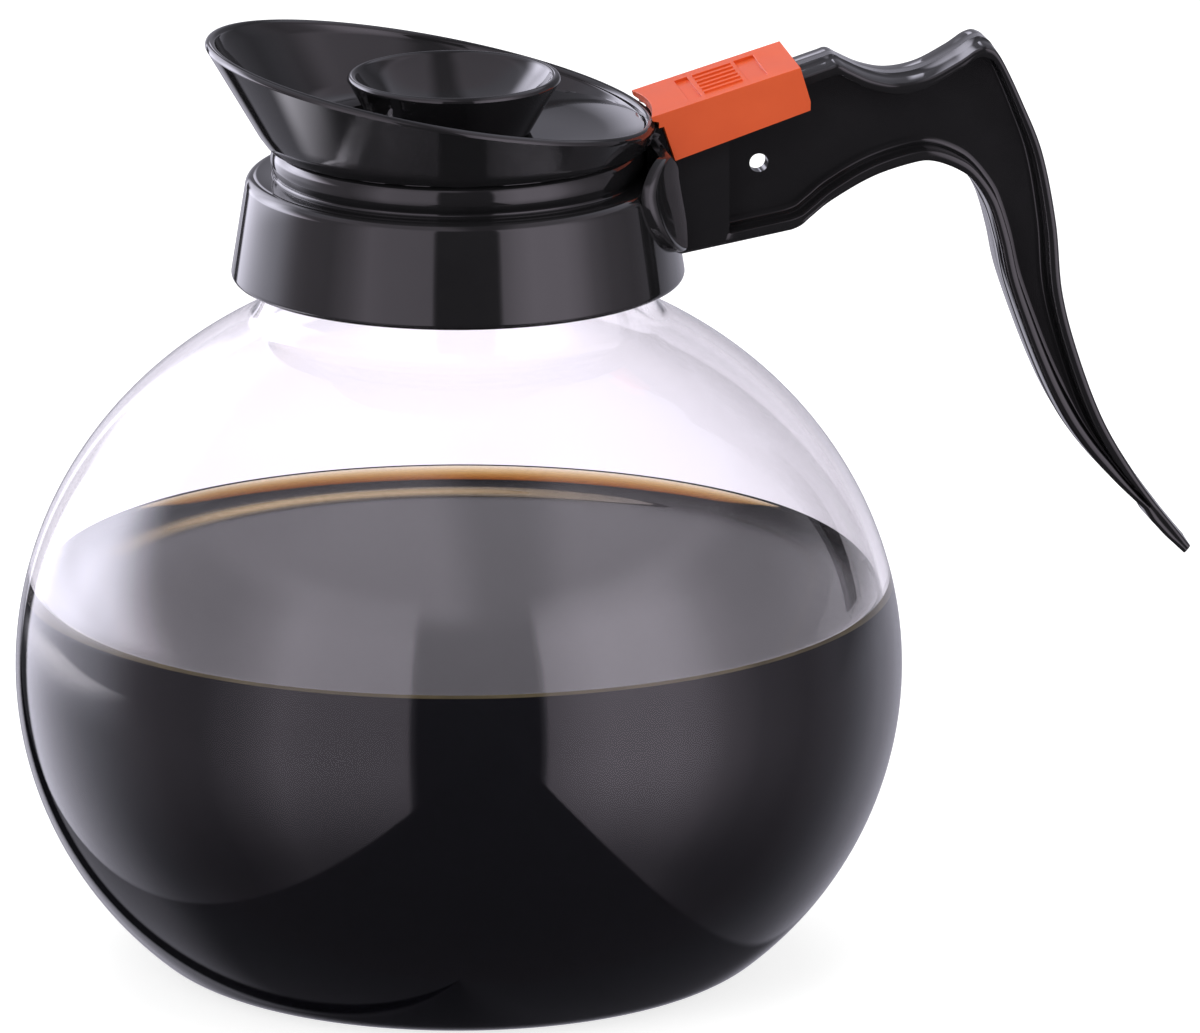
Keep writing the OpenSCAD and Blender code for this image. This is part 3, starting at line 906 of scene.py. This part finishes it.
def handle_section(top, low, pocket):
    """One closed loop round the handle: an I with rounded edges; pocket is 0 where it is solid."""
    height = (low - top).length
    down = (low - top) / height
    w = HANDLE_HALF_W
    edge = min(0.7, height * 0.25)
    flange = min(FLANGE_T, height * 0.42)
    web = mix(w - 0.02, WEB_HALF_T, pocket)
    fillet = min(0.9, (height - 2 * flange) * 0.35) * max(pocket, 0.02)
    lip = 0.35 * pocket + 0.01
    # The parting line of the mould, the crowned top and its rounded edge
    half = [(-0.05, 0.0), (-0.05, 0.09), (0.0, 0.17), (CROWN * 0.5, w * 0.5)]
    half += [(CROWN + edge - edge * math.cos(a), w - edge + edge * math.sin(a)) for a in quarter(5)]
    # The flange's side, its inner edge and the fillet to the web
    half += [(flange - lip, w), (flange - lip * 0.3, w - lip * 0.3), (flange, w - lip)]
    half += [(flange, mix(w - lip, web + fillet, 0.5))]
    for a in quarter(4):
        half.append((flange + fillet - fillet * math.cos(a), web + fillet - fillet * math.sin(a)))
    mirror = [(height - u, y) for u, y in half]
    flat = min(flange + fillet + 0.5, height * 0.48)
    loop = half + [(flat, web), (height / 2, web), (height - flat, web)] + mirror[::-1]
    full = loop + [(u, -y) for u, y in loop[-2:0:-1]]
    return [tuple(top + down * u + Vector((0, y, 0))) for u, y in full]


def make_handle(material):
    rings = []
    for u, x in ROOT_STATIONS:
        low = Vector((x, 0.0, COLLAR_TOP - 0.9))
        rings.append(handle_section(edge_point(TOP_SHARES, u, TOP_CURVED), low, 0.0))
    # Two stations close together make the step where the pockets begin
    stations = [k / 12 for k in range(241)] + [POCKET_FROM - 0.005, POCKET_FROM + 0.005]
    for u in sorted(stations):
        top = edge_point(TOP_SHARES, u, TOP_CURVED)
        low = edge_point(LOW_SHARES, interpolate(ACROSS, u), LOW_CURVED)
        closes = 1 - smooth((u - POCKET_TO) / POCKET_FADE)
        rings.append(handle_section(top, low, float(u > POCKET_FROM) * closes))
    shape = loft(rings, closed=False, caps=True)
    handle = make_object("handle_grip", shape, material, BODY, ["handle"], sharp=50)
    cut_hang_hole(handle)


def cut_hang_hole(handle):
    """Cuts the hole through the web by which the carafe is hung up."""
    ends = HANDLE_HALF_W - 1.0
    verts, faces = revolve([(0.0, -ends), (HANG_R, -ends), (HANG_R, ends), (0.0, ends)], 64)
    place = [(HANG_X + x, -z, COLLAR_TOP + y) for x, y, z in verts]
    tool = add_object("hole_tool", new_mesh("hole_tool", place, faces))
    cut = handle.modifiers.new("hang_hole", "BOOLEAN")
    cut.operation = "DIFFERENCE"
    cut.solver = "EXACT"
    cut.object = tool
    graph = bpy.context.evaluated_depsgraph_get()
    done = bpy.data.meshes.new_from_object(handle.evaluated_get(graph))
    handle.modifiers.remove(cut)
    handle.data = done
    bpy.data.objects.remove(tool)


def saddle_point(p, out):
    """Point of the saddle at p = (across, height), that far outside the skirt."""
    r = skirt_r(min(p.y, COLLAR_TOP)) + out
    y = min(max(p.x, -r + 0.1), r - 0.1)
    return (math.sqrt(r * r - y * y), y, p.y)


def make_saddle(material):
    """The plate that hugs the skirt, with large round corners and a rounded edge."""
    corners = [
        (-SADDLE_HALF_W, SADDLE_LOW, SADDLE_LOW_ROUND),
        (SADDLE_HALF_W, SADDLE_LOW, SADDLE_LOW_ROUND),
        (SADDLE_HALF_W, SADDLE_TOP, SADDLE_TOP_ROUND),
        (-SADDLE_HALF_W, SADDLE_TOP, SADDLE_TOP_ROUND)]
    border = [Vector(p) for p in rounded(corners, 14, True)]
    middle = Vector((0.0, (SADDLE_LOW + SADDLE_TOP) / 2))
    verts = []
    for share in (0.02, 0.2, 0.4, 0.6, 0.8, 0.93):
        verts += [saddle_point(middle.lerp(p, share), SADDLE_T) for p in border]
    for a in quarter(5):
        inset = SADDLE_EDGE * (1 - math.sin(a))
        out = SADDLE_T - SADDLE_EDGE + SADDLE_EDGE * math.cos(a)
        verts += [saddle_point(p + (middle - p).normalized() * inset, out) for p in border]
    verts += [saddle_point(p, 0.02) for p in border]
    m = len(border)
    faces = [list(range(m))] + grid_faces(len(verts) // m, m, around=True)
    make_object("handle_saddle", (verts, faces), material, BODY)


# ---------------------------------------------------------------- clip

def make_clip(material):
    """A soft-edged copy of the clip's solid."""
    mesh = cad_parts["clip"].data.copy()
    mesh.name = "clip_shell"
    clip = add_object("clip_shell", mesh)
    mesh.materials.clear()
    mesh.materials.append(material)
    tidy_flats(mesh)
    mesh.shade_smooth()
    mesh.set_sharp_from_angle(angle=math.radians(30))
    add_bevel(clip, 0.35, 3)
    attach(clip, CLIP_BODY)
    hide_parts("clip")


def tidy_flats(mesh):
    """Joins the triangles of each flat, so that the bevel rounds only real edges."""
    work = bmesh.new()
    work.from_mesh(mesh)
    bmesh.ops.remove_doubles(work, verts=work.verts, dist=1e-6)
    bmesh.ops.dissolve_limit(work, angle_limit=math.radians(1), verts=work.verts, edges=work.edges)
    work.to_mesh(mesh)
    work.free()


# ---------------------------------------------------------------- studio, in metres

EYE = Vector((-0.4633, -2.8604, 0.8665))
AIM = Vector((0.0257, -0.0055, 0.0850))
FLOOR_HALF = 6.0
# The card's corners beside the bowl, its height, and how wide its edges fade: left, right, front, back
CARD_LOW = (-0.17, -0.03)
CARD_HIGH = (-0.09, 0.08)
CARD_UP = 0.056
CARD_FADES = (0.02, 0.045, 0.04, 0.04)
# Lamps: name, place, size and power; all of them face LAMP_AIM
LAMPS = [
    ("key", (-0.9, -1.3, 1.3), (0.9, 0.9), 10.5),
    ("fill", (1.2, -1.1, 0.8), (0.8, 1.0), 5.5),
    ("top", (0.0, 0.3, 1.6), (1.4, 1.0), 10.0)]
LAMP_AIM = Vector((0, 0, 0.1))


def look_at(obj, place, aim):
    obj.location = place
    obj.rotation_euler = (aim - place).to_track_quat("-Z", "Y").to_euler()


def make_camera():
    data = bpy.data.cameras.new("camera")
    data.sensor_width = 36.0
    data.lens = 484.9
    data.clip_start = 0.1
    data.clip_end = 50.0
    camera = add_object("camera", data)
    look_at(camera, EYE, AIM)
    bpy.context.scene.camera = camera


def make_lights():
    """Lamps that light matt surfaces and aren't seen in gloss or through the glass."""
    for name, place, size, power in LAMPS:
        data = bpy.data.lights.new(name, "AREA")
        data.shape = "RECTANGLE"
        data.size, data.size_y = size
        data.energy = power
        lamp = add_object(name, data)
        look_at(lamp, Vector(place), LAMP_AIM)
        lamp.visible_glossy = False
        lamp.visible_transmission = False


def add_sheet(name, low, high, z, material):
    """A level rectangle between two corners."""
    mesh = bpy.data.meshes.new(name)
    corners = [(low[0], low[1], 0), (high[0], low[1], 0), (high[0], high[1], 0), (low[0], high[1], 0)]
    mesh.from_pydata(corners, [], [[0, 1, 2, 3]])
    mesh.materials.append(material)
    sheet = add_object(name, mesh)
    sheet.location.z = z
    return sheet


def make_floor():
    """A pale floor that keeps the shadow and shows white to the eye."""
    material, tree, shader = new_material("floor_paper")
    tree.fill(shader, {"Base Color": (0.6, 0.6, 0.6, 1.0), "Roughness": 1.0, "Specular IOR Level": 0.0})
    path = tree.new("LightPath")
    seen = tree.math("MAXIMUM", path.outputs["Is Camera Ray"], path.outputs["Is Transmission Ray"])
    seen = tree.math("MAXIMUM", seen, path.outputs["Is Glossy Ray"])
    both = tree.new("AddShader")
    tree.put(both.inputs[0], shader.outputs["BSDF"])
    tree.put(both.inputs[1], tree.emission(WHITE, tree.product(seen, 0.75)))
    tree.finish("Surface", both.outputs["Shader"])
    floor = add_sheet("floor", (-FLOOR_HALF, -FLOOR_HALF), (FLOOR_HALF, FLOOR_HALF), -0.0002, material)
    floor.visible_glossy = False
    floor.visible_transmission = False


def make_card():
    """A bright card low on the left that only gloss sees, for the funnel's underside."""
    material, tree, _ = new_material("card_paper")
    x, y, _ = tree.axes("Object")
    left, right, front, back = CARD_FADES
    fade_x = tree.product(
        tree.step(x, CARD_HIGH[0], CARD_HIGH[0] - right), tree.step(x, CARD_LOW[0], CARD_LOW[0] + left))
    fade_y = tree.product(
        tree.step(y, CARD_LOW[1], CARD_LOW[1] + front), tree.step(y, CARD_HIGH[1], CARD_HIGH[1] - back))
    under = tree.new("NewGeometry").outputs["Backfacing"]
    shown = tree.product(fade_x, fade_y, tree.rest(under))
    glow = tree.emission((0.93, 0.9, 1.0, 1.0), 4.5)
    tree.finish("Surface", tree.mix_shaders(tree.rest(shown), glow, tree.transparent(WHITE)))
    card = add_sheet("card", CARD_LOW, CARD_HIGH, CARD_UP, material)
    card.visible_camera = False
    card.visible_diffuse = False
    card.visible_transmission = False
    card.visible_shadow = False


# ---------------------------------------------------------------- light from all round

# Brightness that gloss sees round the object: (turn from the front, value), positive to the right
ROUND_ABOUT = [
    (-180, 2.0), (-150, 1.9), (-126, 1.2), (-107, 0.7), (-92, 0.45), (-79, 0.42), (-67, 0.85),
    (-56, 1.5), (-45, 1.35), (-24, 1.25), (-21.8, 1.2), (-20.9, 0.01), (12.4, 0.01), (13.2, 1.3),
    (21, 1.8), (30, 2.2), (48, 2.1), (56, 1.7), (65, 0.95), (76, 0.5), (92, 0.27), (110, 0.33),
    (130, 0.6), (150, 0.55), (165, 0.4), (180, 0.5)]
# A ramp ends at 1, so it holds shares of the brightest value
BRIGHTEST = 2.2
# Light that matt surfaces get from all round
AMBIENT = 0.55
# Its colour in gloss, in front and elsewhere, and through the glass
FRONT_TINT = (1.0, 0.9, 1.04, 1.0)
SIDE_TINT = (1.0, 0.98, 1.14, 1.0)
CLEAR_TINT = (1.0, 0.96, 1.06, 1.0)
# Patches of it: strength, and for each edge (direction, where it is 0, where it is 1), in degrees
EDGE_GLOW = (0.9, [("turn", -98.0, -120.0), ("rise", -16.0, -6.0), ("rise", 8.0, 0.0)])
TABLE = (0.3, [("turn", -110.0, -140.0), ("rise", -12.0, -30.0), ("rise", -56.0, -40.0)])
WINDOW = (1.7, [("turn", 172.5, 176.5), ("rise", 10.0, 14.0), ("rise", 26.0, 21.0)])
# A narrow dark gap between the lamp on the left and the backdrop
GAP = (0.97, [("turn", -159.0, -162.5), ("turn", -171.5, -168.0), ("rise", 9.0, 1.0)])


def directions(tree):
    """Parts of a ray's direction, its turn and rise in degrees, and left, which is 1 on the left half."""
    x, y, z = tree.axes("Generated")
    front = tree.product(y, -1.0)
    turn = tree.product(tree.math("ARCTAN2", x, front), 180 / math.pi)
    return {
        "x": x,
        "z": z,
        "turn": turn,
        "side": tree.math("ABSOLUTE", turn),
        "left": tree.step(turn, 2.0, -2.0),
        "rise": tree.product(tree.math("ARCSINE", z), 180 / math.pi)}


def patch(tree, way, table):
    """One patch of light from its strength and its edges."""
    strength, edges = table
    return tree.product(*(tree.step(way[name], off, on) for name, off, on in edges), strength)


def soft_boxes(tree, way):
    """Tall boxes beside a dark strip of table that runs from front to back."""
    x, z, turn, rise = (way[name] for name in ("x", "z", "turn", "rise"))
    stops = [(a / 360 + 0.5, grey(value / BRIGHTEST)) for a, value in ROUND_ABOUT]
    boxes = tree.product(tree.ramp(tree.lift(0.5, turn, 1 / 360), stops), BRIGHTEST)
    left = tree.step(tree.lift(x, z, -0.8), 0.01, -0.01)
    right = tree.step(tree.lift(x, z, 0.74), -0.01, 0.01)
    beside = tree.math("MAXIMUM", left, right)
    low_fade = tree.lift(0.2, tree.step(rise, -46.0, -10.0), 0.8)
    boxes = tree.product(boxes, beside, low_fade, tree.step(rise, 42.0, 26.0))
    # They are weak behind on the right, but for their feet
    strong = tree.math("MAXIMUM", tree.step(turn, 125.0, 100.0), tree.step(rise, 2.0, -10.0))
    return tree.product(boxes, tree.lift(0.15, strong, 0.85))


def rear_lamp(tree, way):
    """A lamp behind on the left, cut off aslant on its right and below."""
    turn = way["turn"]
    rise = way["rise"]
    right = tree.step(tree.lift(turn, rise, 1.4), -72.0, -110.0)
    left = tree.lift(0.3, tree.step(turn, -150.0, -128.0), 0.7)
    low = tree.step(tree.lift(rise, turn, -0.2), 22.0, 27.0)
    wide = tree.product(right, left, tree.step(turn, -172.0, -150.0), tree.step(rise, 50.0, 30.0))
    return tree.product(wide, low, tree.lift(5.2, tree.step(rise, 2.0, 8.0), 2.0))


def studio_light(tree, way):
    """All that gloss sees but for the backdrop."""
    # The ceiling is darker in a strip from front to back
    off_middle = tree.math("ABSOLUTE", tree.math("SUBTRACT", way["x"], 0.1))
    ceiling = tree.lift(0.12, tree.step(off_middle, 0.06, 0.3), 0.65)
    ceiling = tree.product(tree.step(way["rise"], 28.0, 38.0), ceiling)
    boxes = soft_boxes(tree, way)
    lamp = rear_lamp(tree, way)
    return tree.total(boxes, lamp, patch(tree, way, EDGE_GLOW), patch(tree, way, TABLE), ceiling, 0.08)


def light_in_gloss(tree, way, studio):
    """The studio, and behind the object a darker backdrop with a window."""
    rise = way["rise"]
    side = way["side"]
    level = tree.lift(0.2, tree.step(rise, 24.0, 8.0), 0.12)
    level = tree.product(tree.step(rise, -52.0, -24.0), level)
    below = tree.lift(0.1, way["left"], 0.25)
    below = tree.product(tree.step(rise, 4.0, -8.0), tree.step(rise, -34.0, -16.0), below)
    backdrop = tree.total(0.04, level, below, patch(tree, way, WINDOW))
    behind = tree.blend(way["left"], tree.step(side, 150.0, 172.0), tree.step(side, 168.0, 174.0))
    return tree.product(tree.blend(behind, studio, backdrop), tree.rest(patch(tree, way, GAP)))


def light_through_glass(tree, way, studio):
    """The studio in front, and behind the object a white backdrop that is darker high up."""
    backdrop = tree.lift(0.28, tree.step(way["rise"], 23.0, 4.0), 0.94)
    # It falls off a little towards the right
    bright = tree.math("MAXIMUM", tree.step(way["turn"], 164.0, 171.0), way["left"])
    backdrop = tree.product(backdrop, tree.lift(0.82, bright, 0.18))
    return tree.blend(tree.step(way["side"], 55.0, 100.0), studio, backdrop)


def make_world():
    """White to the eye, even for matt surfaces, and a studio in gloss and through the glass."""
    world = bpy.data.worlds.new("studio")
    bpy.context.scene.world = world
    world.use_nodes = True
    tree = Tree(world.node_tree)
    way = directions(tree)
    path = tree.new("LightPath")
    glossy = path.outputs["Is Glossy Ray"]
    # Light that has come through glass counts as gloss too, so it is asked for first
    passed = path.outputs["Is Transmission Ray"]
    studio = studio_light(tree, way)
    mirrored = light_in_gloss(tree, way, studio)
    seen = tree.blend(passed, mirrored, light_through_glass(tree, way, studio))
    plain = tree.math("MAXIMUM", path.outputs["Is Camera Ray"], AMBIENT)
    strength = tree.blend(tree.math("MAXIMUM", glossy, passed), plain, seen)
    gloss_tint = tree.tint(tree.step(way["side"], 120.0, 90.0), SIDE_TINT, FRONT_TINT)
    only_gloss = tree.product(glossy, tree.rest(passed))
    color = tree.tint(passed, tree.tint(only_gloss, WHITE, gloss_tint), CLEAR_TINT)
    tree.fill(tree.nodes["Background"], {"Color": color, "Strength": strength})


# ---------------------------------------------------------------- all of it

BLACK = [(0.0104, 0.01, 0.0112), (0.0134, 0.013, 0.0144), (0.04, 0.08), 0.02]
ORANGE = [(0.70, 0.082, 0.012), (0.76, 0.1, 0.018), (0.4, 0.5), 0.05]


def paint_nodes(material, *names):
    """Gives a material to nodes that are shown as the CAD made them."""
    for name in names:
        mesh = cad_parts[name].data
        mesh.materials.clear()
        mesh.materials.append(material)


def main():
    bpy.context.scene.view_settings.view_transform = "Standard"
    make_bowl(glass_material())
    make_coffee(coffee_material(), deep_coffee_and_shade_material(), film_painted_glow_material())
    make_foam(foam_material())
    black = plastic_material("black_plastic", *BLACK)
    for make in (make_collar, make_funnel, make_funnel_floor, make_spigot, make_hub, make_cup):
        make(black)
    make_handle(black)
    make_saddle(black)
    make_clip(plastic_material("orange_plastic", *ORANGE))
    paint_nodes(rubber_material(), "neck_gasket")
    paint_nodes(steel_material(), "retaining_ring", "handle_screws")
    make_camera()
    make_floor()
    make_card()
    make_world()
    make_lights()


main()
